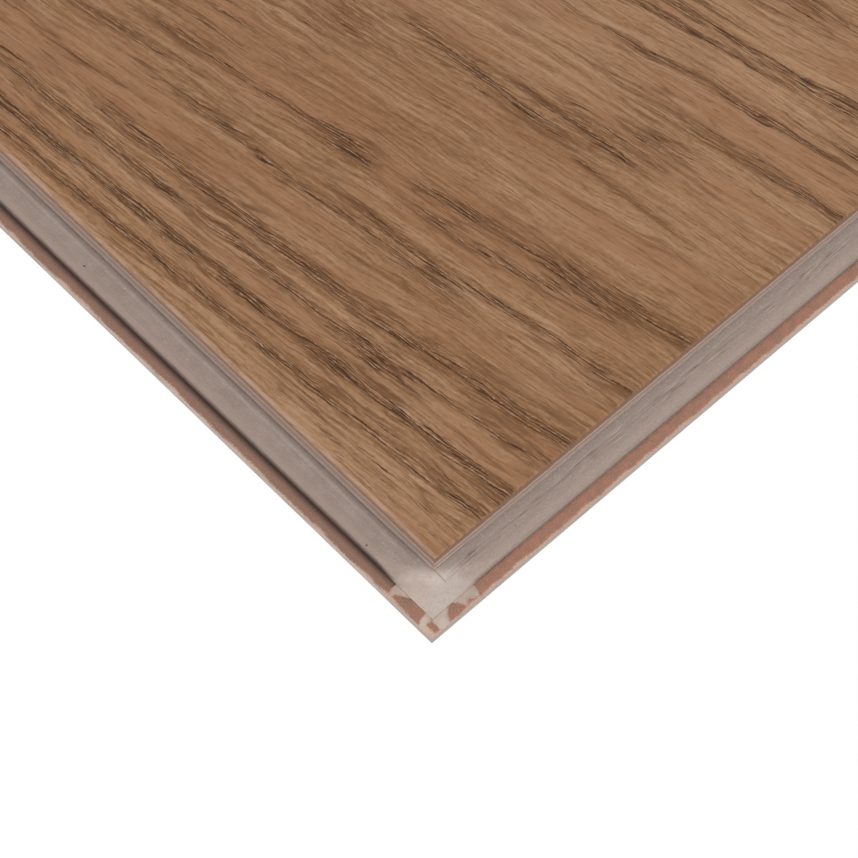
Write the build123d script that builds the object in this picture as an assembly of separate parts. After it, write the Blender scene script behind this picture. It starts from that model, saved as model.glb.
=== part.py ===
from build123d import *
from math import sqrt
import os

# Rigid vinyl floor plank with click edges, lying flat with its printed face up.
# X runs along the length, Y across the width, Z up from the underside.
# The groove sides are at +X and -Y, the tongue sides at -X and +Y.
# All sizes in millimetres.

# Printed face, from joint line to joint line
face_length = 1220.0
face_width = 180.0

# Layers, from the underside up
base_thickness = 1.04
film_thickness = 0.06
core_thickness = 2.0
face_thickness = 1.9

# Bevel along the top edges of the printed face
long_bevel = 0.4
short_bevel = 0.25

# Groove milled into the core behind the joint line
groove_depth = 1.6
groove_height = 0.8
groove_floor_rise = 0.5
groove_root_bevel = 0.2

# Shallow channel milled along the lower lip, from behind the joint line to the ridge
channel_start = 0.35
long_channel_depth = 0.1
short_channel_depth = 0.05

# Lower lip, with its locking ridge, beyond the joint line
ridge_foot = 0.7
ridge_flank = 1.6
ridge_height = 0.2
ridge_bevel = 0.2
lip_reach = 3.45

# The ridges run out on one rounded slope towards the corner of the two lips. Where it starts
# and ends is the distance outward along X plus that along -Y, from the corner of the face.
# The lead is how far above the ridges it starts.
runout_start = -3.2
runout_end = 2.4
runout_lead = 0.01
corner_floor_rise = 0.06

# Ledge of film and base beyond the lip
ledge_width = 1.55

# Tongue on the opposite sides
nose_bevel = 0.2
play = 0.1

# Film broken away at the corner of the two ledges. Each outline is given in distances
# along the ledge, inward from the corner of the lips, and across it, outward from the lip.
long_chip = [(5.4, 0.0), (5.38, 0.67), (5.2, 1.18), (4.95, 1.3), (4.72, 0.87), (4.16, 0.46), (3.35, 0.0)]
short_chip = [(5.65, 0.0), (5.65, 0.75), (5.3, 1.4), (4.35, 0.8), (3.95, 0.95), (3.7, 1.4), (3.4, 0.57), (2.9, 0.0)]
long_break = [(0.9, 0.0), (0.84, 0.54), (0.73, 1.04), (0.5, 1.3)]
short_break = [(2.2, 0.0), (1.77, 0.29), (1.35, 0.93), (1.1, 1.33)]
tip_patch_inner = 0.13
tip_patch_outer = 0.95

# Levels
film_bottom = base_thickness
film_top = film_bottom + film_thickness
core_top = film_top + core_thickness
face_top = core_top + face_thickness
groove_floor = film_top + groove_floor_rise
groove_roof = groove_floor + groove_height
ridge_top = groove_floor + ridge_height
corner_floor = film_top + corner_floor_rise

# Distances outward from the joint line
half_length = face_length / 2
half_width = face_width / 2
ledge_reach = lip_reach + ledge_width
tongue_reach = groove_depth - play
base_setback = ledge_reach + play


def groove_edge(channel_depth):
    """Groove side of the core, from the lip up: distance outward, height, corner bevel."""
    channel_floor = groove_floor - channel_depth
    return [
        (lip_reach, film_top, 0),
        (lip_reach, ridge_top, ridge_bevel),
        (ridge_foot + ridge_flank, ridge_top, ridge_bevel),
        (ridge_foot, channel_floor, 0),
        (-channel_start, channel_floor, 0),
        (-channel_start, groove_floor, 0),
        (-groove_depth, groove_floor, groove_root_bevel),
        (-groove_depth, groove_roof, groove_root_bevel),
        (0, groove_roof, 0),
        (0, core_top, 0),
    ]


def tongue_edge():
    """Tongue side of the core, from the top down: distance outward, height, corner bevel."""
    return [
        (0, core_top, 0),
        (0, groove_roof - play, 0),
        (tongue_reach, groove_roof - play, nose_bevel),
        (tongue_reach, groove_floor + play, nose_bevel),
        (play - ridge_foot, groove_floor + play, 0),
        (play - ridge_foot - ridge_flank, ridge_top + play, 0),
        (-lip_reach - play, ridge_top + play, 0),
        (-lip_reach - play, film_top + play, 0),
        (-base_setback, film_top + play, 0),
        (-base_setback, film_top, 0),
    ]


def core_section(span, channel_depth):
    """Core cut across a pair of edges that are span apart: groove side first, tongue side last."""
    corners = [(-span / 2 - out, height, bevel) for out, height, bevel in groove_edge(channel_depth)]
    corners += [(span / 2 + out, height, bevel) for out, height, bevel in tongue_edge()]
    points = []
    for i, (across, height, bevel) in enumerate(corners):
        here = Vector(across, height)
        if bevel == 0:
            points.append(here)
            continue
        for beside in (corners[i - 1], corners[i + 1]):
            points.append(here + (Vector(beside[0], beside[1]) - here).normalized() * bevel)
    return make_face(Polyline(*points, close=True))


def face_section(span, bevel):
    """Printed face cut across a pair of edges that are span apart."""
    half = span / 2
    return make_face(
        Polyline(
            (-half, core_top),
            (half, core_top),
            (half, face_top - bevel),
            (half - bevel, face_top),
            (bevel - half, face_top),
            (-half, face_top - bevel),
            close=True,
        )
    )


def crossed(width_section, length_section):
    """Solid that has one section across the width and the other along the length."""
    reach_x = half_length + ledge_reach
    reach_y = half_width + ledge_reach
    along = extrude(Plane.YZ.offset(-reach_x) * width_section, 2 * reach_x)
    # The length section has its groove side first, which is +X
    facing = Plane(origin=(0, -reach_y, 0), x_dir=(-1, 0, 0), z_dir=(0, 1, 0))
    across = extrude(facing * length_section, 2 * reach_y)
    return along & across


def block(low, high):
    """Block between two opposite corners."""
    size = high - low
    return Pos(*((low + high) / 2)) * Box(size.X, size.Y, size.Z)


def ledge_sheet(bottom, thickness):
    """Flat layer under the core: out to the ledge on the groove sides, set back on the tongue sides."""
    return block(
        Vector(base_setback - half_length, -half_width - ledge_reach, bottom),
        Vector(half_length + ledge_reach, half_width - base_setback, bottom + thickness),
    )


def ridge_runout():
    """Wedge milled off both lips at their corner, down a rounded slope to the low floor of the corner."""
    start = runout_start / sqrt(2)
    end = runout_end / sqrt(2)
    tip = ledge_reach * sqrt(2)
    clear = (ridge_top + groove_roof) / 2
    brow = ridge_top + runout_lead
    slope = Spline((start, brow), (end, corner_floor), tangents=((1, 0), (1, 0)))
    outline = Polyline((end, corner_floor), (tip, corner_floor), (tip, clear), (start, clear), (start, brow))
    wedge = make_face([slope, outline])
    # Looking along the diagonal from the corner of the face, with the outward direction to the right
    facing = Plane(origin=(half_length, -half_width, 0), x_dir=(1, -1, 0), z_dir=(-1, -1, 0))
    spread = 2 * (ledge_reach - runout_start)
    return extrude(facing.offset(-spread) * wedge, 2 * spread)


def rigid_core():
    """Grey board with the click profile milled along all four sides."""
    board = crossed(
        core_section(face_width, long_channel_depth),
        core_section(face_length, short_channel_depth),
    )
    board -= ridge_runout()
    # Each lip ends where the board is set back on the tongue side
    board -= block(
        Vector(half_length, half_width - base_setback, film_top),
        Vector(half_length + lip_reach, half_width + tongue_reach, core_top),
    )
    board -= block(
        Vector(-half_length - tongue_reach, -half_width - lip_reach, film_top),
        Vector(base_setback - half_length, -half_width, core_top),
    )
    return board


def film_cut(outline):
    """Piece of film with an outline given outward from the corner of the lips, along X and along -Y."""
    corner_x = half_length + lip_reach
    corner_y = -half_width - lip_reach
    points = [(corner_x + out_x, corner_y - out_y) for out_x, out_y in outline]
    return extrude(Pos(0, 0, film_bottom) * make_face(Polyline(*points, close=True)), film_thickness)


def brown_film():
    """Thin film between the core and the base, with pieces broken away at the corner of the ledges."""
    film = ledge_sheet(film_bottom, film_thickness)
    film -= film_cut([(-along, across) for along, across in long_chip])
    film -= film_cut([(across, -along) for along, across in short_chip])
    # The corner itself is bare, apart from one patch that still sticks to the tip
    long_end = [(-along, across) for along, across in long_break]
    short_end = [(across, -along) for along, across in reversed(short_break)]
    rim = [(long_end[-1][0], ledge_width), (ledge_width, ledge_width), (ledge_width, short_end[0][1])]
    film -= film_cut(long_end + rim + short_end + [(0, 0)])
    patch = [
        (0, tip_patch_inner),
        (0, tip_patch_outer),
        (ledge_width, tip_patch_outer),
        (ledge_width, tip_patch_inner),
    ]
    return film + film_cut(patch)


def base_layer():
    """Pale backing on the underside."""
    return ledge_sheet(0, base_thickness)


def printed_face():
    """Wear layer and print, beveled along all four top edges."""
    return crossed(face_section(face_width, long_bevel), face_section(face_length, short_bevel))


os.makedirs("parts", exist_ok=True)
for build in (base_layer, brown_film, rigid_core, printed_face):
    node = build()
    node.label = build.__name__
    export_step(node, f"parts/{build.__name__}.step")
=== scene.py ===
import math

import bpy
import numpy as np
from mathutils import Matrix, Vector
from mathutils.geometry import delaunay_2d_cdt


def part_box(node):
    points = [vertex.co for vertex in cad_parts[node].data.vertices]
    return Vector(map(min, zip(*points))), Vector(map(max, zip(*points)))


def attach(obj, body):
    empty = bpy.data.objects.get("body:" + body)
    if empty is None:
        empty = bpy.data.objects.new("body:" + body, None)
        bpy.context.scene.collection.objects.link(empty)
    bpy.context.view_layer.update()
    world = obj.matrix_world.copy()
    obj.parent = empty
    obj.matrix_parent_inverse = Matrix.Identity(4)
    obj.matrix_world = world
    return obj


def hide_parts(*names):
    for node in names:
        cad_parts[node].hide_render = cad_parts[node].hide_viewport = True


# Vinyl floor plank: the looks of its printed face, grey core, brown film and pale base.
# Lengths are in millimetres unless a name says otherwise, and meshes are made in metres.

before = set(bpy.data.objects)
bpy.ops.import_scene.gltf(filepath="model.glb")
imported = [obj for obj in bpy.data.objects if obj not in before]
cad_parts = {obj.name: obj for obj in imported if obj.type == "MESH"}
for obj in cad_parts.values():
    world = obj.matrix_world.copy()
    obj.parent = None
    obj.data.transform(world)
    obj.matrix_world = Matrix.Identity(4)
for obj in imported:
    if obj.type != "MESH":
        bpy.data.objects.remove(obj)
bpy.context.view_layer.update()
MM = 0.001

# Camera, fitted to the edges of the photographed corner
IMAGE_SIZE = 858
SENSOR = 36.0
CAMERA_AZIMUTH = 46.84
CAMERA_ELEVATION = 59.35
FOCAL_PIXELS = 2521.3
CORNER_DISTANCE = 256.64
CORNER_PIXEL = (434.06, 559.14)
CLIP_NEAR_M = 0.01
CLIP_FAR_M = 50

# Floor, sky and lamps: each lamp's name, azimuth, elevation, width in metres and watts
FLOOR_HALF_M = 6.0
FLOOR_LEVEL_M = -0.00002
FLOOR_PAINT = (0.9, 0.9, 0.9, 1)
FLOOR_GLOW_SHARE = 0.9
SKY_LIGHT = 0.5
LAMPS = [
    ("key", 70, 45, 1.6, 51.5),
    ("overhead", 200, 70, 2.5, 14),
    ("left_fill", 5, 25, 2.0, 13),
]
LAMP_DISTANCE_M = 3.0
LAMP_TARGET_M = (0.3, 0, 0)

# Printed face: its bevels, the steps of its mesh and the depth of the emboss
LONG_BEVEL = 0.4
SHORT_BEVEL = 0.25
FINE_SPAN_X = 112.0
FINE_STEP_X = 1.2
COARSE_STEP_X = 40.0
FINE_SPAN_Y = 72.0
FINE_STEP_Y = 0.15
COARSE_STEP_Y = 6.0
STEP_GROWTH = 1.12
EMBOSS = 0.03

# Map for export: share of it for the walls and the underside, in lanes, and the margin of a lane
MAP_EDGE = 0.04
MAP_LANES = 5
LANE_MARGIN = 0.2

# Direction of the grain: lines that sway along the plank, flatter near the long groove side
# and straighter away from the corner
SWAY = 12.8
SWAY_LENGTH = 520.0
SWAY_START = 40.0
CALM_FROM = -140.0
CALM_TO = -420.0
CALM_SHARE = 0.3
FLAT_SHARE = 0.5
FLAT_SPAN = 20.0

# Dark pore bundles by the corner: width, strength and the points along each, as distances in
# from the short edge (negative) and from the long edge
BUNDLES = [
    (1.1, 0.9, [(-98, 1.2), (-76, 1.9), (-50, 3.3), (-32, 4.2), (-18, 5.2), (8, 7.5)]),
    (1.4, 1.0, [(-84, 4.0), (-70, 4.9), (-50, 6.4), (-32, 7.7), (-18, 9.0), (-5, 10.2), (8, 12.1)]),
    (1.2, 0.9, [(-110, 6.6), (-82, 8.1), (-58, 9.7), (-45, 11.0), (-32, 11.3), (-23, 12.1), (-12, 12.5)]),
    (2.4, 1.0, [(-30, 11.6), (-13, 12.8)]),
    (0.9, 0.9, [(-28, 11.4), (-10, 14.6), (8, 17.6)]),
    (1.7, 0.9, [(-72, 12.0), (-56, 13.2), (-37, 14.3), (-22, 15.8), (-15, 17.3), (-5, 18.5), (8, 21.3)]),
    (1.2, 0.8, [(-70, 19.2), (-57, 20.6), (-46, 21.0), (-37, 22.3), (-25, 23.8)]),
    (2.0, 1.0, [(-31, 23.2), (-19, 24.6)]),
    (1.0, 0.9, [(-43, 23.6), (-25, 24.8), (-18, 26.5), (-8, 27.9), (8, 29.7)]),
    (1.8, 0.8, [(-10, 27.6), (8, 29.7)]),
    (1.0, 0.8, [(-78, 24.8), (-62, 26.3), (-52, 27.9), (-38, 29.8)]),
    (2.4, 1.0, [(-53, 27.8), (-37, 29.9)]),
    (1.5, 0.9, [(-39, 30.0), (-32, 31.7), (-18, 34.3), (-7, 36.7), (8, 38.9)]),
    (1.3, 0.8, [(-37, 27.9), (-21, 30.7), (-10, 32.5)]),
    (3.2, 0.9, [(-21, 33.2), (-3, 36.2)]),
    (5.0, 0.6, [(-65, 39.0), (-52, 42.5)]),
    (0.6, 0.7, [(-64, 36.9), (-54, 37.8)]),
    (0.6, 0.7, [(-55, 41.3), (-46, 41.8)]),
    (1.3, 0.9, [(-58, 44.6), (-54, 46.2), (-43, 46.7), (-32, 47.3), (-24, 48.2)]),
    (0.4, 0.7, [(-52, 44.3), (-30, 46.0), (-8, 47.3)]),
    (1.1, 0.9, [(-42, 47.9), (-37, 49.0), (-27, 49.8), (-16, 50.3)]),
    (1.1, 0.8, [(-37, 50.7), (-27, 51.5), (-15, 52.6)]),
    (2.2, 0.9, [(-27, 54.0), (-15, 55.5)]),
    (1.0, 0.8, [(-16, 53.0), (-11, 53.7)]),
    (1.5, 0.9, [(-9, 6.1), (8, 7.8)]),
    (0.5, 0.9, [(-10, 8.6), (8, 9.5)]),
    (0.4, 0.6, [(-29, 2.2), (-20, 3.1), (-7, 3.7)]),
    (0.4, 0.6, [(-23, 1.5), (-10, 2.6), (8, 5.8)]),
    (0.4, 0.45, [(-15, 0.7), (8, 2.9)]),
    (0.5, 0.55, [(-29, 5.7), (-18, 6.7), (8, 8.5)]),
]
# Length over which a bundle fades in at either end, and the share of its strength there
BUNDLE_FADE = 6
BUNDLE_START = 0.15
# Spread of the pores and of the brown shade: value along the middle of the bundle before it is cut
# off at 1, and the distance over which it falls by 1, as a share of the width
PORE_SPREAD = (1.5, 0.6)
SHADE_SPREAD = (1.3, 1.3)
# Part of the face for which the bundles are listed, measured in from the two edges, and the
# half width of the change to the loose ones
READ_IN = 62.0
READ_UP = 58.0
READ_IN_BLEND = 6
READ_UP_BLEND = 4

# Noise of the print. Each row starts with the length along the grain, the width across it and a
# seed. Wavering of all lines, then its detail and how far it goes
WAVERS = [
    (32.0, 8.0, 3.0, 2.0, 2.2),
    (7.0, 2.5, 7.0, 2.0, 0.9),
    (1.6, 0.6, 9.0, 2.0, 0.16),
    (0.45, 0.3, 19.0, 1.0, 0.12),
]
# Streaks that make the tone, then their detail, roughness and weight
TONE_STREAKS = [
    (70.0, 6.0, 1.0, 3.0, 0.55, 0.2),
    (30.0, 1.0, 2.0, 3.0, 0.6, 0.42),
    (10.0, 0.4, 5.0, 3.0, 0.65, 0.42),
    (0.8, 0.26, 12.0, 2.0, 0.5, 0.24),
    (3.0, 0.2, 33.0, 2.0, 0.6, 0.34),
]
# Grit that does not follow the grain, then its weight
TONE_GRIT = (0.2, 0.125, 2.0, 0.15)
# Change of tone across the plank, away from the long edge: from, to, tone added at each
TONE_BANDS = [(2.0, 22.0, 0.05, 0.0), (36.0, 62.0, 0.0, 0.04)]
TONE_IN_SHADE = -0.03
TONE_OFFSET = 0.37
# Thin brown lines, then their thickness in steps of the noise
HAIRLINES = [(45.0, 2.6, 14.0, 0.026), (26.0, 1.1, 15.0, 0.03)]
# Loose bundles, and the range of their noise over which pores and shade come in
LOOSE_BUNDLES = (60.0, 2.6, 51.0)
LOOSE_RANGE = {"bundle": (0.53, 0.65), "shade": (0.48, 0.61)}
# Pores, then their detail and roughness. Noise above the bar is a pore. The bar falls in a
# bundle, and a pore has a soft edge and a painted highlight (glint) beside it
PORES = (6.5, 0.18, 11.0, 2.0, 0.6)
PORE_BAR = 0.70
PORE_BAR_FALL = -0.21
PORE_EDGE = 0.06
PAINTED_GLINT_SHIFT = -0.12

# Lips of the core, as distances outward from the face: half width of the blend between the two at
# the corner, dark bands of the short one as middle and half width, and its lane of scratches
SIDE_BLEND = 0.9
SHORT_LIP_BANDS = [(0.3, 0.4), (1.2, 0.5)]
SCRATCH_LANE = 1.15
# Fine mill line along the long side and along the end: where each stroke lies, how far along the
# edge its middle is, and the half lengths and half widths between which it fades
MILL_LINE_SIDE = -0.41
SIDE_STROKE_MIDDLE = 0.3
SIDE_STROKE_FADE = (1.1, 1.0)
MILL_LINE_END = 1.32
END_STROKE_MIDDLE = -0.9
END_STROKE_FADE = (0.9, 0.4)
MILL_LINE_FADE = (0.09, 0.03)
# Soft shading where the lips meet: radius, and the ranges over which it comes and goes, as the sum
# of the distances outward from the two edges
SOFT_RADIUS = 0.9
SOFT_SAMPLES = 8
SOFT_IN = (-5.5, -4.0)
SOFT_OUT = (1.7, 0.2)

# Depth of the bump in each material
PRINT_BUMP = 0.02
EDGE_BUMP = 0.03
CORE_BUMP = 0.015
FILM_BUMP = 0.015
BASE_BUMP = 0.03

# Distances from the outermost wall between which a surface starts to count as part of it
ON_WALL = (0.02, 0.01)

# Torn edges of the film at the corner of the ledges
TEAR_SEED = 8
TEAR_REACH = 8.0
TEAR_STEP = 0.09
TEAR_DEPTH = 0.035
TEAR_RIM = 0.14
TEAR_LIFT = 0.05
# The film lifts only where it is this far clear of the core
LIFT_CLEAR = 0.02
# An edge that leans less than this, this near the outer edge of the ledge, is cut and not torn
STRAIGHT = 1e-3
AT_EDGE = 0.01
# Points closer than this become one
MERGE = 1e-5
# A CAD face whose normal rises more than this is part of the top
UPWARD = 0.5

# Colours, as seen
WOOD_TONES = [
    (0.34, (0.42, 0.27, 0.145)),
    (0.44, (0.50, 0.353, 0.23)),
    (0.50, (0.545, 0.40, 0.277)),
    (0.57, (0.59, 0.447, 0.327)),
    (0.68, (0.64, 0.503, 0.39)),
]
WOOD_RED = (0.55, 0.385, 0.265)
LINE_BROWN = (0.355, 0.222, 0.11)
BUNDLE_BROWN = (0.385, 0.255, 0.14)
PORE_DARK = (0.23, 0.13, 0.05)
# The glint colour is a painted highlight beside the pores, and also the pale crumbs of the short bevels
PALE_CRUMB_AND_PAINTED_GLINT = (0.67, 0.55, 0.46)
# Painted highlight on the long bevels, and painted shade on the short bevels and the end walls
LONG_BEVEL_HIGHLIGHT = (0.67, 0.55, 0.46)
SHORT_EDGE_SHADE = (0.47, 0.36, 0.29)
WEAR_EDGE = (0.51, 0.395, 0.34)
PRINT_EDGE = (0.50, 0.395, 0.345)
CARRIER = (0.68, 0.585, 0.53)
CARRIER_FOOT = (0.575, 0.485, 0.435)
CORE_GREY = (0.612, 0.546, 0.504)
CORE_DARK = (0.56, 0.488, 0.445)
CORE_LIGHT = (0.73, 0.68, 0.65)
CORE_SPECK = (0.40, 0.33, 0.29)
FILM_BROWN = (0.595, 0.41, 0.326)
FILM_DARK = (0.52, 0.372, 0.303)
FILM_IN_PAINTED_SHADE = (0.462, 0.34, 0.28)
FILM_GRAIN = (0.43, 0.30, 0.235)
# Dark colour of real dirt spots, and of painted shade and shadow along the long lip
DIRT_AND_PAINTED_SHADE = (0.20, 0.125, 0.085)
TORN = (0.76, 0.63, 0.54)
BASE_PALE = (0.735, 0.662, 0.62)
BASE_DARK = (0.64, 0.57, 0.525)
BASE_SHADE = (0.60, 0.545, 0.52)


def linear(colour):
    """Linear colour, with alpha, of one given as seen on a screen."""
    channels = [c / 12.92 if c <= 0.04045 else ((c + 0.055) / 1.055) ** 2.4 for c in colour]
    return (*channels, 1.0)


class Graph:
    """Shorthand for wiring the nodes of a tree."""

    def __init__(self, tree):
        self.tree = tree
        tree.nodes.clear()

    def node(self, kind, inputs=None, **settings):
        made = self.tree.nodes.new(kind)
        for name, value in settings.items():
            setattr(made, name, value)
        for name, value in (inputs or {}).items():
            self.feed(made.inputs[name], value)
        return made

    def feed(self, socket, value):
        if isinstance(value, bpy.types.NodeSocket):
            self.tree.links.new(value, socket)
        else:
            socket.default_value = value

    def math(self, operation, *values, clamp=False):
        made = self.node("ShaderNodeMath", operation=operation, use_clamp=clamp)
        for socket, value in zip(made.inputs, values):
            self.feed(socket, value)
        return made.outputs[0]

    def add(self, a, b):
        return self.math("ADD", a, b)

    def subtract(self, a, b):
        return self.math("SUBTRACT", a, b)

    def times(self, a, b):
        return self.math("MULTIPLY", a, b)

    def away(self, value, middle):
        """How far a value is from a middle, to either side."""
        return self.math("ABSOLUTE", self.subtract(value, middle))

    def vector(self, x, y, z=0.0):
        return self.node("ShaderNodeCombineXYZ", {"X": x, "Y": y, "Z": z}).outputs[0]

    def noise(self, x, y, z=0.0, detail=2.0, roughness=0.5):
        made = self.node(
            "ShaderNodeTexNoise",
            {"Vector": self.vector(x, y, z), "Scale": 1.0, "Detail": detail, "Roughness": roughness},
        )
        return made.outputs[0]

    def grains(self, spot, size, detail=2.0, roughness=0.5, seed=0.0):
        """Noise with grains of the given size. Over two coordinates, the seed stands for the third."""
        scaled = [self.times(part, 1 / size) for part in spot]
        x, y, z = scaled if len(scaled) == 3 else (*scaled, seed)
        return self.noise(x, y, z, detail, roughness)

    def attribute(self, name):
        return self.node("ShaderNodeAttribute", attribute_name=name).outputs["Fac"]

    def smooth(self, value, low, high, to_low=0.0, to_high=1.0):
        made = self.node(
            "ShaderNodeMapRange",
            {"Value": value, "From Min": low, "From Max": high, "To Min": to_low, "To Max": to_high},
            interpolation_type="SMOOTHSTEP",
        )
        return made.outputs[0]

    def blend(self, factor, a, b):
        made = self.node("ShaderNodeMix", data_type="RGBA")
        self.feed(made.inputs[0], factor)
        for socket, value in zip((made.inputs[6], made.inputs[7]), (a, b)):
            self.feed(socket, value if isinstance(value, bpy.types.NodeSocket) else linear(value))
        return made.outputs[2]

    def tint(self, colour, value, low, high, strength, tint):
        """Colour blended towards a tint as the value goes from low to high."""
        return self.blend(self.smooth(value, low, high, 0.0, strength), colour, tint)

    def ramp(self, value, stops):
        made = self.node("ShaderNodeValToRGB", {0: value})
        elements = made.color_ramp.elements
        while len(elements) < len(stops):
            elements.new(1.0)
        for element, (place, colour) in zip(elements, stops):
            element.position = place
            element.color = linear(colour)
        return made.outputs[0]

    def place(self):
        """Position on the plank in millimetres, as x, y and z sockets."""
        where = self.node("ShaderNodeTexCoord").outputs["Object"]
        scaled = self.node("ShaderNodeVectorMath", operation="SCALE")
        self.feed(scaled.inputs[0], where)
        scaled.inputs["Scale"].default_value = 1 / MM
        apart = self.node("ShaderNodeSeparateXYZ", {0: scaled.outputs[0]})
        return apart.outputs

    def shown(self):
        """1 for the rays that show the background: those of the camera, and of mirrors and glass."""
        path = self.node("ShaderNodeLightPath").outputs
        shown = self.math("MAXIMUM", path["Is Camera Ray"], path["Is Glossy Ray"])
        return self.math("MAXIMUM", shown, path["Is Transmission Ray"])

    def surface(self, colour, roughness, height, depth, normal=None, **constants):
        """Principled surface with a bump of the given depth, joined to the output."""
        inputs = {"Base Color": colour, "Roughness": roughness, **constants}
        shader = self.node("ShaderNodeBsdfPrincipled", inputs)
        bump = self.node("ShaderNodeBump", {"Height": height, "Distance": depth * MM, "Strength": 1.0})
        if normal:
            self.feed(bump.inputs["Normal"], normal)
        self.feed(shader.inputs["Normal"], bump.outputs[0])
        self.node("ShaderNodeOutputMaterial", {"Surface": shader.outputs[0]})


def new_material(name):
    material = bpy.data.materials.new(name)
    material.use_nodes = True
    return material, Graph(material.node_tree)


# Frame sizes in millimetres
face_low, face_high = (np.array(corner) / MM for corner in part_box("printed_face"))
core_low, core_high = (np.array(corner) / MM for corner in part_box("rigid_core"))
film_low, film_high = (np.array(corner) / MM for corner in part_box("brown_film"))
CORNER = np.array([face_high[0], face_low[1], face_high[2]])
LIP = float(core_high[0] - face_high[0])


def graded(start, span_fine, step_fine, end, step_coarse):
    """Coordinates from start to end: fine for the first span, then widening to the coarse step."""
    sign = 1 if end > start else -1
    places = list(np.arange(0, span_fine, step_fine))
    step = step_fine
    while places[-1] + step < abs(end - start) - step:
        step = min(step * STEP_GROWTH, step_coarse)
        places.append(places[-1] + step)
    places.append(abs(end - start))
    return start + sign * np.array(places)


def bundle_fields(along, across):
    """Share of dark pores at each point, and the wider brown shade round them."""
    fields = [np.zeros_like(along), np.zeros_like(along)]
    for wide, strong, points in BUNDLES:
        place, level = np.array(points, float).T
        off = np.abs(across - np.interp(along, place, level))
        from_ends = np.minimum(along - place[0], place[-1] - along)
        inside = strong * np.clip(from_ends / BUNDLE_FADE + BUNDLE_START, 0, 1) * (from_ends > 0)
        for i, (middle, spread) in enumerate((PORE_SPREAD, SHADE_SPREAD)):
            fields[i] = np.maximum(fields[i], inside * np.clip(middle - off / (wide * spread), 0, 1))
    return fields


def face_mesh():
    """Printed face as a fine sheet with its bevel and cut edges, closed underneath."""
    near_x, far_x = face_high[0] - SHORT_BEVEL, face_low[0] + SHORT_BEVEL
    near_y, far_y = face_low[1] + LONG_BEVEL, face_high[1] - LONG_BEVEL
    xs = graded(near_x, FINE_SPAN_X, FINE_STEP_X, far_x, COARSE_STEP_X)
    ys = graded(near_y, FINE_SPAN_Y, FINE_STEP_Y, far_y, COARSE_STEP_Y)
    grid_x, grid_y = np.meshgrid(xs, ys, indexing="ij")
    count_x, count_y = grid_x.shape
    top = np.stack([grid_x, grid_y, np.full_like(grid_x, face_high[2])], -1).reshape(-1, 3)
    number = np.arange(count_x * count_y).reshape(count_x, count_y)
    # x falls along the first index, so this order faces up
    quads = np.stack([number[:-1, :-1], number[:-1, 1:], number[1:, 1:], number[1:, :-1]], -1)
    quads = quads.reshape(-1, 4)
    rim = np.concatenate([number[:, 0], number[-1, 1:], number[-2::-1, -1], number[0, -2:0:-1]])
    rows = [rim]
    points = [top]
    outward = top[rim].copy()
    outward[:, 0] = np.where(rim // count_y == 0, face_high[0], outward[:, 0])
    outward[:, 0] = np.where(rim // count_y == count_x - 1, face_low[0], outward[:, 0])
    outward[:, 1] = np.where(rim % count_y == 0, face_low[1], outward[:, 1])
    outward[:, 1] = np.where(rim % count_y == count_y - 1, face_high[1], outward[:, 1])
    drop = np.where((rim % count_y == 0) | (rim % count_y == count_y - 1), LONG_BEVEL, SHORT_BEVEL)
    total = len(top)
    for level in (face_high[2] - drop, face_low[2]):
        ring = outward.copy()
        ring[:, 2] = level
        points.append(ring)
        rows.append(np.arange(total, total + len(rim)))
        total += len(rim)
    # The print covers the top and the bevel, and the cut edge the rest
    faces = [tuple(quad) for quad in quads]
    zone = [0] * len(faces)
    for part, (upper, lower) in enumerate(zip(rows, rows[1:])):
        for i in range(len(rim)):
            j = (i + 1) % len(rim)
            faces.append((upper[j], lower[j], lower[i], upper[i]))
            zone.append(part)
    faces.append(tuple(rows[-1]))
    zone.append(1)
    points = np.concatenate(points)
    fields = bundle_fields(points[:, 0] - CORNER[0], points[:, 1] - CORNER[1])
    points[:len(top), 2] -= EMBOSS * fields[0][:len(top)]
    mesh = bpy.data.meshes.new("printed_face_sheet")
    mesh.from_pydata((points * MM).tolist(), [], [tuple(int(i) for i in face) for face in faces])
    mesh.polygons.foreach_set("material_index", zone)
    for name, field in zip(("bundle", "shade"), fields):
        mesh.attributes.new(name, "FLOAT", "POINT").data.foreach_set("value", field.astype(np.float32))
    # Map for export: the print fills nearly all of it, with the walls and the underside in lanes
    walls = np.repeat([0, 1, 2, 3], [count_x - 1, count_y - 1, count_x - 1, count_y - 1])
    lane = np.concatenate([np.full(len(faces) - len(walls) - 1, -1), walls, [4]])
    lane = np.repeat(lane, [len(face) for face in faces])
    corner = np.concatenate([np.array(face) for face in faces])
    share = ((points - face_low) / (face_high - face_low))[corner]
    along = np.where((lane == 1) | (lane == 3), share[:, 1], share[:, 0])
    rise = np.where(lane == 4, share[:, 1], share[:, 2])
    on_top = MAP_EDGE + (1 - MAP_EDGE) * share[:, 1]
    in_lane = MAP_EDGE * (lane + LANE_MARGIN + (1 - 2 * LANE_MARGIN) * rise) / MAP_LANES
    above = np.where(lane < 0, on_top, in_lane)
    places = np.column_stack([along, above]).astype(np.float32)
    mesh.uv_layers.new(name="OFBake").data.foreach_set("uv", places.ravel())
    mesh.update()
    return mesh


def top_loops(node):
    """Outlines of a CAD node's upward faces, in millimetres, each with its inside on the left."""
    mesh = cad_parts[node].data
    after = {}
    edges = {}
    for polygon in mesh.polygons:
        if polygon.normal.z < UPWARD:
            continue
        corners = [tuple(round(c / MM, 4) for c in mesh.vertices[i].co[:2]) for i in polygon.vertices]
        for a, b in zip(corners, corners[1:] + corners[:1]):
            edges[(a, b)] = True
    # An edge that two faces share is walked both ways, and is no outline
    for a, b in edges:
        if (b, a) not in edges:
            after[a] = b
    loops = []
    while after:
        start = here = next(iter(after))
        loop = []
        while here in after:
            loop.append(here)
            here = after.pop(here)
        loops.append(np.array(loop))
    return loops


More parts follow.
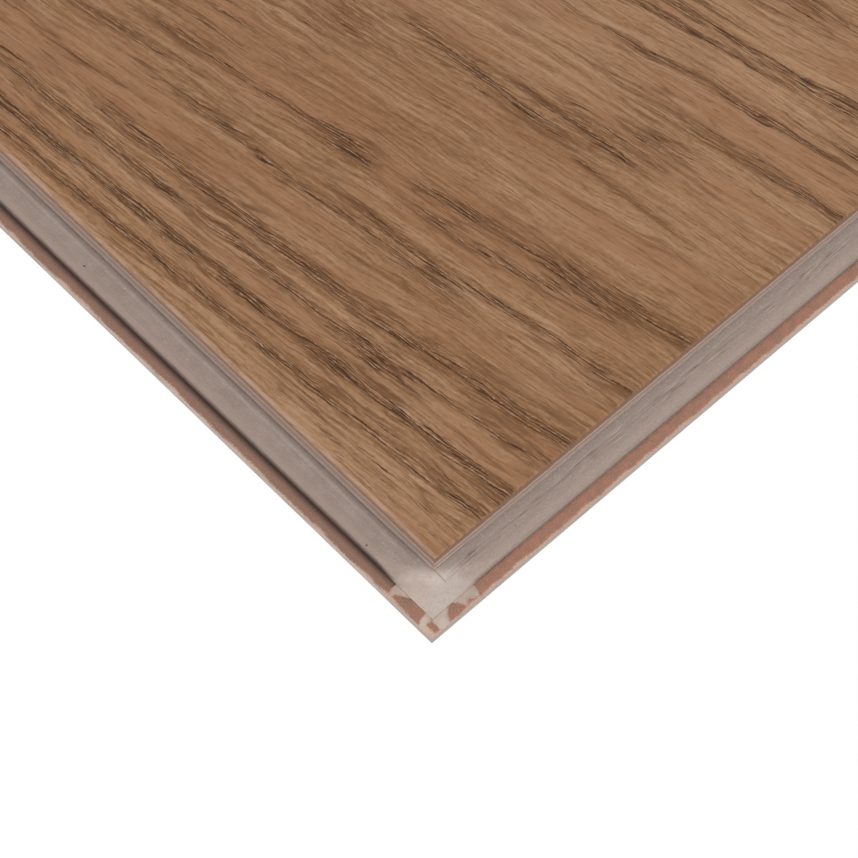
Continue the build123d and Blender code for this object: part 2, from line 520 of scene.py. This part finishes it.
def film_mesh():
    """Film as the CAD has it, with its broken edges at the corner torn ragged and slightly lifted."""
    draw = np.random.default_rng(TEAR_SEED)
    points, torn, rings = [], [], []
    for loop in top_loops("brown_film"):
        ring = []
        for start, end in zip(loop, np.roll(loop, -1, 0)):
            span = end - start
            long = np.hypot(*span)
            middle = (start + end) / 2
            near = middle[0] > film_high[0] - TEAR_REACH and middle[1] < film_low[1] + TEAR_REACH
            cut_end = abs(span[0]) < STRAIGHT and middle[0] > film_high[0] - AT_EDGE
            cut_side = abs(span[1]) < STRAIGHT and middle[1] < film_low[1] + AT_EDGE
            ring.append(len(points))
            points.append(start)
            torn.append(0.0)
            if not near or cut_end or cut_side:
                continue
            torn[-1] = 1.0
            side = np.array([-span[1], span[0]]) / long
            pieces = max(1, int(long / TEAR_STEP))
            for share in np.arange(1, pieces) / pieces:
                spot = start + span * share + side * draw.normal(0, TEAR_DEPTH)
                ring.append(len(points))
                points.append(np.clip(spot, film_low[:2], film_high[:2]))
                torn.append(1.0)
            for share in np.linspace(0, 1, pieces + 1):
                points.append(start + span * share + side * TEAR_RIM)
                torn.append(0.0)
        rings.append(ring)
    # Holes run the other way round, so their area is negative
    spots = np.array(points)
    holes = []
    for number, ring in enumerate(rings):
        a, b = spots[ring], np.roll(spots[ring], -1, 0)
        if (a[:, 0] * b[:, 1] - b[:, 0] * a[:, 1]).sum() < 0:
            holes.append(number)
            ring.reverse()
    corners = [Vector(point) for point in points]
    flat, _, faces, origins, _, owners = delaunay_2d_cdt(corners, [], rings, 1, MERGE)
    faces = [face for face, owner in zip(faces, owners) if not set(owner) & set(holes)]
    flat = np.array([tuple(p) for p in flat])
    rim = np.array([max(torn[i] for i in source) if source else 0.0 for source in origins])
    count = len(flat)
    lift = rim * TEAR_LIFT * draw.uniform(0, 1, count)
    beyond = (flat[:, 0] > core_high[0] + LIFT_CLEAR) | (flat[:, 1] < core_low[1] - LIFT_CLEAR)
    top = np.column_stack([flat, film_high[2] + lift * beyond])
    bottom = np.column_stack([flat, np.full(count, film_low[2])])
    solid = [tuple(face) for face in faces]
    solid += [tuple(i + count for i in reversed(face)) for face in faces]
    walked = {(a, b) for face in faces for a, b in zip(face, list(face[1:]) + [face[0]])}
    solid += [(b, a, a + count, b + count) for a, b in walked if (b, a) not in walked]
    mesh = bpy.data.meshes.new("film_sheet")
    mesh.from_pydata((np.concatenate([top, bottom]) * MM).tolist(), [], solid)
    values = np.concatenate([rim, rim]).astype(np.float32)
    mesh.attributes.new("torn", "FLOAT", "POINT").data.foreach_set("value", values)
    mesh.update()
    return mesh


def print_material():
    """Oak print: swaying streaks, dark broken pores gathered in bundles, painted pale highlights on pore
    edges.
    """
    material, g = new_material("oak_print")
    x, y, z = g.place()
    along = g.subtract(x, float(CORNER[0]))
    across = g.subtract(y, float(CORNER[1]))
    phase = g.times(g.add(along, SWAY_START), 2 * math.pi / SWAY_LENGTH)
    calm = g.smooth(along, CALM_TO, CALM_FROM, SWAY * CALM_SHARE, SWAY)
    sway = g.times(g.math("SINE", phase), calm)
    level = g.subtract(across, g.times(sway, g.smooth(across, 0.0, FLAT_SPAN, FLAT_SHARE, 1.0)))
    for length, width, seed, detail, far in WAVERS:
        waver = g.noise(g.times(along, 1 / length), g.times(across, 1 / width), seed, detail)
        level = g.math("MULTIPLY_ADD", g.subtract(waver, 0.5), far, level)

    def streaks(length, width, seed, detail=2.0, roughness=0.55, shift=0.0):
        """Noise stretched along the grain."""
        shifted = g.add(level, shift) if shift else level
        return g.noise(g.times(along, 1 / length), g.times(shifted, 1 / width), seed, detail, roughness)

    # Listed bundles by the corner, loose ones over the rest of the face
    rest_in = g.smooth(along, -READ_IN - READ_IN_BLEND, -READ_IN + READ_IN_BLEND, 1.0, 0.0)
    rest_up = g.smooth(across, READ_UP - READ_UP_BLEND, READ_UP + READ_UP_BLEND)
    rest = g.math("MAXIMUM", rest_in, rest_up)
    loose = streaks(*LOOSE_BUNDLES)
    bundle, shade = (
        g.math("MAXIMUM", g.attribute(name), g.times(rest, g.smooth(loose, *LOOSE_RANGE[name])))
        for name in ("bundle", "shade")
    )

    def pores(shift=0.0):
        """Dark pores, where thin streaks rise over a bar that is lower in the bundles."""
        bar = g.math("MULTIPLY_ADD", bundle, PORE_BAR_FALL, PORE_BAR)
        return g.math("DIVIDE", g.subtract(streaks(*PORES, shift), bar), PORE_EDGE, clamp=True)

    def hairlines(length, width, seed, thickness):
        """Thin lines along the grain, where stretched noise crosses its middle value."""
        off = g.away(streaks(length, width, seed, 1.0), 0.5)
        return g.smooth(off, 0.0, thickness, 1.0, 0.0)

    grit_x, grit_y, grit_seed, grit_weight = TONE_GRIT
    grit = g.noise(g.times(x, 1 / grit_x), g.times(y, 1 / grit_y), grit_seed)
    tone = g.times(grit, grit_weight)
    for *layer, weight in TONE_STREAKS:
        tone = g.math("MULTIPLY_ADD", streaks(*layer), weight, tone)
    tone = g.math("MULTIPLY_ADD", shade, TONE_IN_SHADE, tone)
    for band in TONE_BANDS:
        tone = g.add(tone, g.smooth(across, *band))
    colour = g.ramp(g.subtract(tone, TONE_OFFSET), WOOD_TONES)
    colour = g.tint(colour, streaks(45.0, 7.0, 61.0), 0.45, 0.62, 0.55, WOOD_RED)
    # Thin brown lines, short brown flecks and a brown haze in the bundles
    lines = g.math("MAXIMUM", *(hairlines(*row) for row in HAIRLINES))
    lines = g.times(lines, g.math("MULTIPLY_ADD", shade, 0.45, 0.55))
    broken = g.smooth(streaks(9.0, 1.2, 17.0), 0.36, 0.6, 0.15, 0.9)
    colour = g.blend(g.times(lines, broken), colour, LINE_BROWN)
    fleck_bar = g.math("MULTIPLY_ADD", shade, -0.1, 0.62)
    flecks = g.subtract(streaks(3.4, 0.34, 81.0, 2.0, 0.6), fleck_bar)
    colour = g.tint(colour, flecks, 0.0, 0.07, 0.62, BUNDLE_BROWN)
    haze = g.smooth(streaks(4.0, 0.36, 8.0, 3.0, 0.65), 0.44, 0.58, 0.0, 0.8)
    colour = g.blend(g.times(bundle, haze), colour, BUNDLE_BROWN)
    # Dark pores, each with a painted pale highlight on one side
    dark = pores()
    dash = g.smooth(streaks(1.1, 0.2, 23.0), 0.34, 0.52, 0.35, 0.95)
    colour = g.blend(g.times(dark, dash), colour, PORE_DARK)
    painted_glint_spots = g.smooth(streaks(0.9, 0.4, 21.0), 0.48, 0.64, 0.0, 0.6)
    painted_glint = g.times(g.subtract(pores(PAINTED_GLINT_SHIFT), dark), painted_glint_spots)
    colour = g.blend(g.math("MAXIMUM", painted_glint, 0.0), colour, PALE_CRUMB_AND_PAINTED_GLINT)
    # Bevels: a pale painted highlight along the long edges, dull painted shade along the short ones, both
    # patchy
    below = g.subtract(float(face_high[2]), z)
    from_bevel = g.subtract(float(face_high[1]) - LONG_BEVEL, g.math("ABSOLUTE", y))
    on_bevel = g.math("MAXIMUM", g.smooth(below, 0.05, 0.3), g.smooth(from_bevel, 0.3, 0.0, 0.0, 0.8))
    long_edge = g.smooth(from_bevel, 0.35, 0.3)
    crumbs = g.noise(g.times(along, 1 / 0.3), g.times(across, 1 / 0.5), 45.0, 3.0, 0.65)
    short_bevel_shade = g.tint(SHORT_EDGE_SHADE, crumbs, 0.5, 0.68, 0.8, PALE_CRUMB_AND_PAINTED_GLINT)
    short_bevel_shade = g.tint(short_bevel_shade, crumbs, 0.46, 0.32, 0.7, PORE_DARK)
    long_bevel_highlight = g.blend(g.smooth(below, 0.2, 0.28), LONG_BEVEL_HIGHLIGHT, WEAR_EDGE)
    bevel_light_and_shade_spread = g.smooth(streaks(2.5, 0.3, 41.0, 4.0, 0.65), 0.32, 0.6, 0.35, 1.0)
    colour = g.blend(g.times(on_bevel, bevel_light_and_shade_spread), colour, g.blend(long_edge, short_bevel_shade, long_bevel_highlight))
    fine = streaks(5.0, 0.2, 31.0)
    height = g.math("MULTIPLY_ADD", fine, 0.35, g.times(dark, -1.0))
    roughness = g.math("MULTIPLY_ADD", dark, 0.2, g.math("MULTIPLY_ADD", fine, 0.15, 0.40))
    g.surface(colour, roughness, height, PRINT_BUMP, **{"Specular IOR Level": 0.2})
    return material


def edge_material():
    """Cut edge of the printed face: purple-brown wear layer and print over a pale carrier."""
    material, g = new_material("print_cut_edge")
    x, y, z = g.place()
    ragged = g.grains((x, y), 0.7, 3.0, 0.6, seed=4.0)
    level = g.math("MULTIPLY_ADD", g.subtract(ragged, 0.5), 0.4, g.subtract(z, float(face_low[2])))
    end_side = g.smooth(g.subtract(float(face_high[0]), g.math("ABSOLUTE", x)), *ON_WALL)
    # The layers lie higher in the long walls than in the short ones
    level = g.subtract(level, g.smooth(end_side, 0.0, 1.0, 0.4, 0.0))
    # On the end walls the wear layer takes the painted shade of the short bevels
    wear_with_end_shade = g.blend(end_side, WEAR_EDGE, SHORT_EDGE_SHADE)
    colour = g.blend(g.smooth(level, 1.15, 1.45), PRINT_EDGE, wear_with_end_shade)
    colour = g.tint(colour, level, 0.9, 0.75, 1.0, CARRIER)
    colour = g.tint(colour, level, 0.5, 0.35, 1.0, CARRIER_FOOT)
    g.surface(colour, g.smooth(ragged, 0.3, 0.7, 0.5, 0.6), ragged, EDGE_BUMP)
    return material


def core_material():
    """Grey filled vinyl: faint milling streaks along each edge, mottling and a few dark specks, with
    painted light and shade near the walls and where the lips meet.
    """
    material, g = new_material("milled_core")
    x, y, z = spot = list(g.place())
    to_end = g.subtract(float(face_high[0]), g.math("ABSOLUTE", x))
    to_side = g.subtract(float(face_high[1]), g.math("ABSOLUTE", y))
    short_side = g.smooth(g.subtract(to_side, to_end), -SIDE_BLEND, SIDE_BLEND)
    long_side = g.subtract(1.0, short_side)

    def milled(length, width, seed, detail):
        """Noise stretched along the edge that is near."""
        deep = g.add(g.times(z, 1 / width), seed)
        long_way = g.noise(g.times(x, 1 / length), g.times(y, 1 / width), deep, detail)
        short_way = g.noise(g.times(x, 1 / width), g.times(y, 1 / length), deep, detail)
        return g.add(g.times(short_side, short_way), g.times(long_side, long_way))

    streak = milled(7.0, 0.5, 0.0, 4.0)
    scratch = milled(3.0, 0.13, 5.0, 3.0)
    cloud = g.grains(spot, 2.0, 5.0, 0.65)
    speck = g.grains(spot, 0.25)
    grain = g.grains(spot, 0.13, 1.0)
    streak_share = g.math("MULTIPLY_ADD", short_side, 0.4, 0.2)
    blotch = g.add(g.times(streak, streak_share), g.times(cloud, 0.6))
    colour = g.blend(g.smooth(blotch, 0.3, 0.5), CORE_DARK, CORE_GREY)
    colour = g.tint(colour, speck, 0.42, 0.3, 0.3, CORE_LIGHT)
    colour = g.tint(colour, grain, 0.5, 0.66, 0.45, CORE_DARK)
    colour = g.tint(colour, grain, 0.46, 0.3, 0.35, CORE_LIGHT)
    colour = g.tint(colour, speck, 0.64, 0.72, 0.4, CORE_SPECK)
    colour = g.tint(colour, speck, 0.34, 0.26, 0.35, BASE_PALE)
    out_end = g.subtract(x, float(face_high[0]))
    out_side = g.subtract(float(face_low[1]), y)
    reach = g.math("MAXIMUM", out_end, out_side)
    meeting = g.add(out_end, out_side)
    # Scratches, most of them in one lane of the short lip
    lane = g.times(short_side, g.smooth(g.away(out_end, SCRATCH_LANE), 0.8, 0.4, 0.0, 0.75))
    marks = g.times(g.add(lane, 0.12), g.smooth(cloud, 0.4, 0.55, 0.25, 1.0))
    colour = g.blend(g.times(marks, g.smooth(scratch, 0.52, 0.66)), colour, CORE_SPECK)
    colour = g.blend(g.times(marks, g.smooth(scratch, 0.45, 0.34)), colour, CORE_LIGHT)
    # Painted light in under the joint line, against the shade there, most of all on the long side
    painted_light_by_wall = g.smooth(reach, 2.6, -0.3, 0.0, 0.3)
    colour = g.blend(g.times(painted_light_by_wall, g.math("MULTIPLY_ADD", short_side, -0.6, 1.0)), colour, CORE_LIGHT)
    # Darker bands along the short lip, and darker outer parts of both
    for middle, half in SHORT_LIP_BANDS:
        band = g.smooth(g.away(out_end, middle), half, 0.0, 0.0, 0.32)
        colour = g.blend(g.times(band, short_side), colour, CORE_DARK)
    outer_end = g.times(short_side, g.smooth(out_end, 1.4, 2.2, 0.0, 0.3))
    outer_side = g.times(long_side, g.smooth(out_side, 1.4, 2.4, 0.0, 0.6))
    colour = g.blend(g.math("MAXIMUM", outer_end, outer_side), colour, CORE_DARK)
    # Painted shade along the outer edge of the short lip, where it drops to the film
    rim = g.smooth(out_end, LIP - 0.35, LIP - 0.05, 0.0, 0.45)
    colour = g.blend(g.times(short_side, rim), colour, CORE_SPECK)
    # Frayed pale and shaded at the foot of the face, with a few spots of grime further out
    fray = g.smooth(milled(0.5, 0.12, 9.0, 2.0), 0.55, 0.68, 0.0, 0.7)
    colour = g.blend(g.times(g.smooth(reach, 0.7, 0.0), fray), colour, CORE_LIGHT)
    joint = g.times(g.smooth(out_side, 0.45, 0.15, 0.0, 0.4), g.smooth(meeting, -1.5, -4.0))
    joint = g.times(joint, g.smooth(z, 2.2, 1.9))
    colour = g.blend(g.times(joint, long_side), colour, PRINT_EDGE)
    dirt = g.smooth(g.grains(spot, 0.7, 1.0), 0.79, 0.82, 0.0, 0.8)
    colour = g.blend(g.times(dirt, g.smooth(reach, LIP - 0.3, LIP - 0.5)), colour, DIRT_AND_PAINTED_SHADE)
    # Painted shade on the outer wall of the long lip, fading towards the corner
    to_wall = g.math("MULTIPLY_ADD", cloud, 0.2, out_side)
    painted_wall_shade = g.smooth(to_wall, LIP - 0.3, LIP + 0.1, 0.0, 0.9)
    colour = g.blend(g.times(painted_wall_shade, g.smooth(out_end, -1.0, -4.5)), colour, DIRT_AND_PAINTED_SHADE)
    # Painted light where the two lips meet, where less shade falls than beside the walls
    inner = g.math("MINIMUM", out_end, out_side)
    inner = g.math("MULTIPLY_ADD", g.subtract(cloud, 0.5), 4.0, inner)
    painted_corner_light = g.smooth(inner, -3.2, 0.8, 0.0, 0.85)
    colour = g.blend(painted_corner_light, colour, g.blend(g.smooth(blotch, 0.34, 0.62), BASE_PALE, CORE_LIGHT))
    colour = g.blend(g.times(painted_corner_light, g.smooth(speck, 0.46, 0.64, 0.0, 0.4)), colour, CORE_GREY)
    # Fine mill line that turns the corner just outside the face
    side_line = g.smooth(g.away(out_side, MILL_LINE_SIDE), *MILL_LINE_FADE)
    side_stroke = g.smooth(g.away(out_end, SIDE_STROKE_MIDDLE), *SIDE_STROKE_FADE)
    side_line = g.times(side_line, side_stroke)
    end_line = g.smooth(g.away(out_end, MILL_LINE_END), *MILL_LINE_FADE)
    end_stroke = g.smooth(g.away(out_side, END_STROKE_MIDDLE), *END_STROKE_FADE, 0.0, 0.4)
    end_line = g.times(end_line, end_stroke)
    mill_line = g.math("MAXIMUM", side_line, end_line)
    colour = g.blend(g.times(mill_line, 0.5), colour, CORE_SPECK)
    height = g.subtract(g.math("MULTIPLY_ADD", speck, 0.4, streak), mill_line)
    # The milled faces run softly into each other where the two lips meet
    rounded = g.node("ShaderNodeBevel", {"Radius": SOFT_RADIUS * MM}, samples=SOFT_SAMPLES)
    plain = g.node("ShaderNodeNewGeometry").outputs["Normal"]
    mixed = g.node("ShaderNodeMix", data_type="VECTOR")
    g.feed(mixed.inputs[0], g.times(g.smooth(meeting, *SOFT_IN), g.smooth(meeting, *SOFT_OUT)))
    g.feed(mixed.inputs[4], plain)
    g.feed(mixed.inputs[5], rounded.outputs[0])
    g.surface(colour, g.smooth(cloud, 0.3, 0.7, 0.5, 0.65), height, CORE_BUMP, mixed.outputs[1])
    return material


def film_material():
    """Reddish-brown film: painted shade and shadow along the long lip, worn pale along its outer edges
    and torn rims.
    """
    material, g = new_material("brown_film_skin")
    x, y, _ = g.place()
    spot = (x, y)
    cloud = g.grains(spot, 1.2, 5.0, 0.65, seed=2.0)
    ragged = g.grains(spot, 0.4, 4.0, 0.65, seed=6.0)
    patches = g.grains(spot, 3.0, seed=8.0)
    grain = g.grains(spot, 0.15, 2.0, 0.6, seed=12.0)
    to_end = g.subtract(float(film_high[0]), x)
    to_side = g.subtract(y, float(film_low[1]))
    ledge = float(core_low[1] - film_low[1])
    colour = g.blend(g.smooth(cloud, 0.35, 0.65), FILM_DARK, FILM_BROWN)
    # Painted shade beside the long lip, away from the corner
    ledge_painted_shade = g.smooth(to_side, ledge + 0.4, ledge, 0.0, 0.75)
    colour = g.blend(g.times(g.smooth(to_end, ledge + 1.0, ledge + 7.0), ledge_painted_shade), colour, FILM_IN_PAINTED_SHADE)
    colour = g.tint(colour, grain, 0.5, 0.7, 0.65, FILM_GRAIN)
    colour = g.tint(colour, grain, 0.46, 0.3, 0.28, TORN)
    # Painted shadow in the angle under the long lip
    to_lip = g.math("MULTIPLY_ADD", cloud, 0.3, to_side)
    painted_ledge_shadow = g.smooth(to_lip, ledge - 0.75, ledge + 0.15, 0.0, 0.85)
    painted_ledge_shadow = g.times(painted_ledge_shadow, g.smooth(to_side, ledge + 0.4, ledge + 0.2))
    painted_ledge_shadow = g.times(painted_ledge_shadow, g.smooth(to_end, ledge + 2.0, ledge + 5.5))
    colour = g.blend(painted_ledge_shadow, colour, DIRT_AND_PAINTED_SHADE)
    # Worn outer edges
    bite = g.math("MULTIPLY_ADD", g.subtract(patches, 0.5), 0.8, g.times(ragged, 0.5))
    bite = g.math("MULTIPLY_ADD", g.subtract(grain, 0.5), 0.8, bite)
    edge = g.math("MINIMUM", g.add(to_end, 0.06), g.add(to_side, 0.1))
    colour = g.tint(colour, g.subtract(edge, bite), 0.12, -0.2, 0.85, TORN)
    torn = g.times(g.attribute("torn"), g.smooth(ragged, 0.3, 0.6, 0.2, 0.95))
    colour = g.blend(torn, colour, TORN)
    g.surface(colour, g.smooth(cloud, 0.3, 0.7, 0.45, 0.6), ragged, FILM_BUMP)
    return material


def base_material():
    """Pale backing with a fine cut grain."""
    material, g = new_material("pale_base")
    x, y, z = spot = list(g.place())
    cloud = g.noise(g.times(x, 1 / 3.0), g.times(y, 1 / 3.0), g.times(z, 1 / 0.5), 4.0, 0.6)
    grit = g.grains(spot, 0.3)
    to_end = g.subtract(float(film_high[0]), x)
    to_side = g.subtract(y, float(film_low[1]))
    colour = g.blend(g.smooth(cloud, 0.35, 0.7), BASE_PALE, BASE_DARK)
    colour = g.tint(colour, grit, 0.6, 0.75, 0.5, BASE_DARK)
    # Painted shade on the end wall
    colour = g.tint(colour, to_end, *ON_WALL, 0.8, BASE_SHADE)
    # Shreds of film that still stick at the tip
    from_tip = g.math("MULTIPLY_ADD", to_side, 1.5, to_end)
    shreds = g.times(g.smooth(from_tip, 2.4, 1.6), g.smooth(grit, 0.42, 0.5, 0.0, 0.8))
    shreds = g.times(shreds, g.smooth(g.subtract(float(film_low[2]), z), 0.1, 0.02))
    colour = g.blend(shreds, colour, TORN)
    g.surface(colour, g.smooth(cloud, 0.3, 0.7, 0.5, 0.62), grit, BASE_BUMP)
    return material


def dress_cad(node, material):
    """CAD solid shown as it is, in a material of the scene."""
    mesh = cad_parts[node].data
    mesh.materials.clear()
    mesh.materials.append(material)


def add_piece(name, mesh, node, *materials):
    """Piece of the plank that stands in for a CAD node, which it hides."""
    for material in materials:
        mesh.materials.append(material)
    piece = bpy.data.objects.new(name, mesh)
    bpy.context.scene.collection.objects.link(piece)
    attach(piece, "root")
    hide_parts(node)


def make_camera():
    """Camera from which the photographed corner lies as in the photo."""
    azimuth = math.radians(CAMERA_AZIMUTH)
    elevation = math.radians(CAMERA_ELEVATION)
    right = Vector((math.cos(azimuth), math.sin(azimuth), 0))
    forward = Vector((
        -math.sin(azimuth) * math.cos(elevation),
        math.cos(azimuth) * math.cos(elevation),
        -math.sin(elevation),
    ))
    up = right.cross(forward)
    per_pixel = CORNER_DISTANCE / FOCAL_PIXELS
    off_x = (CORNER_PIXEL[0] - IMAGE_SIZE / 2) * per_pixel
    off_y = (CORNER_PIXEL[1] - IMAGE_SIZE / 2) * per_pixel
    place = Vector(CORNER) - forward * CORNER_DISTANCE - right * off_x + up * off_y
    data = bpy.data.cameras.new("camera")
    data.sensor_width = SENSOR
    data.lens = FOCAL_PIXELS / IMAGE_SIZE * SENSOR
    data.clip_start = CLIP_NEAR_M
    data.clip_end = CLIP_FAR_M
    camera = bpy.data.objects.new("camera", data)
    turn = Matrix((right, up, -forward)).transposed().to_4x4()
    camera.matrix_world = Matrix.Translation(place * MM) @ turn
    bpy.context.scene.collection.objects.link(camera)
    bpy.context.scene.camera = camera


def make_stage():
    """White floor that keeps a soft shadow of the plank."""
    material, g = new_material("white_floor")
    paint = g.node("ShaderNodeBsdfDiffuse", {"Color": FLOOR_PAINT})
    glow = g.node("ShaderNodeEmission", {"Color": (1, 1, 1, 1), "Strength": 1.0})
    glow_share = g.times(g.shown(), FLOOR_GLOW_SHARE)
    both = g.node("ShaderNodeMixShader", {0: glow_share, 1: paint.outputs[0], 2: glow.outputs[0]})
    g.node("ShaderNodeOutputMaterial", {"Surface": both.outputs[0]})
    mesh = bpy.data.meshes.new("floor")
    turns = ((-1, -1), (1, -1), (1, 1), (-1, 1))
    corners = [(x * FLOOR_HALF_M, y * FLOOR_HALF_M, FLOOR_LEVEL_M) for x, y in turns]
    mesh.from_pydata(corners, [], [(0, 1, 2, 3)])
    mesh.materials.append(material)
    floor = bpy.data.objects.new("floor", mesh)
    bpy.context.scene.collection.objects.link(floor)


def make_lights():
    """White sky and square lamps that look at a point towards the photographed end."""
    scene = bpy.context.scene
    world = bpy.data.worlds.new("studio")
    scene.world = world
    world.use_nodes = True
    g = Graph(world.node_tree)
    strength = g.math("MULTIPLY_ADD", g.shown(), 1 - SKY_LIGHT, SKY_LIGHT)
    sky = g.node("ShaderNodeBackground", {"Color": (1, 1, 1, 1), "Strength": strength})
    g.node("ShaderNodeOutputWorld", {"Surface": sky.outputs[0]})
    for name, azimuth, elevation, width, watts in LAMPS:
        data = bpy.data.lights.new(name, "AREA")
        data.size = width
        data.energy = watts
        lamp = bpy.data.objects.new(name, data)
        turn, rise = math.radians(azimuth), math.radians(elevation)
        flat = math.cos(rise)
        away = Vector((math.sin(turn) * flat, -math.cos(turn) * flat, math.sin(rise)))
        lamp.location = Vector(LAMP_TARGET_M) + away * LAMP_DISTANCE_M
        lamp.rotation_euler = away.to_track_quat("Z", "Y").to_euler()
        scene.collection.objects.link(lamp)


add_piece("printed_sheet", face_mesh(), "printed_face", print_material(), edge_material())
add_piece("film_sheet", film_mesh(), "brown_film", film_material())
dress_cad("rigid_core", core_material())
dress_cad("base_layer", base_material())
make_stage()
make_lights()
make_camera()

bpy.context.scene.view_settings.view_transform = "Standard"
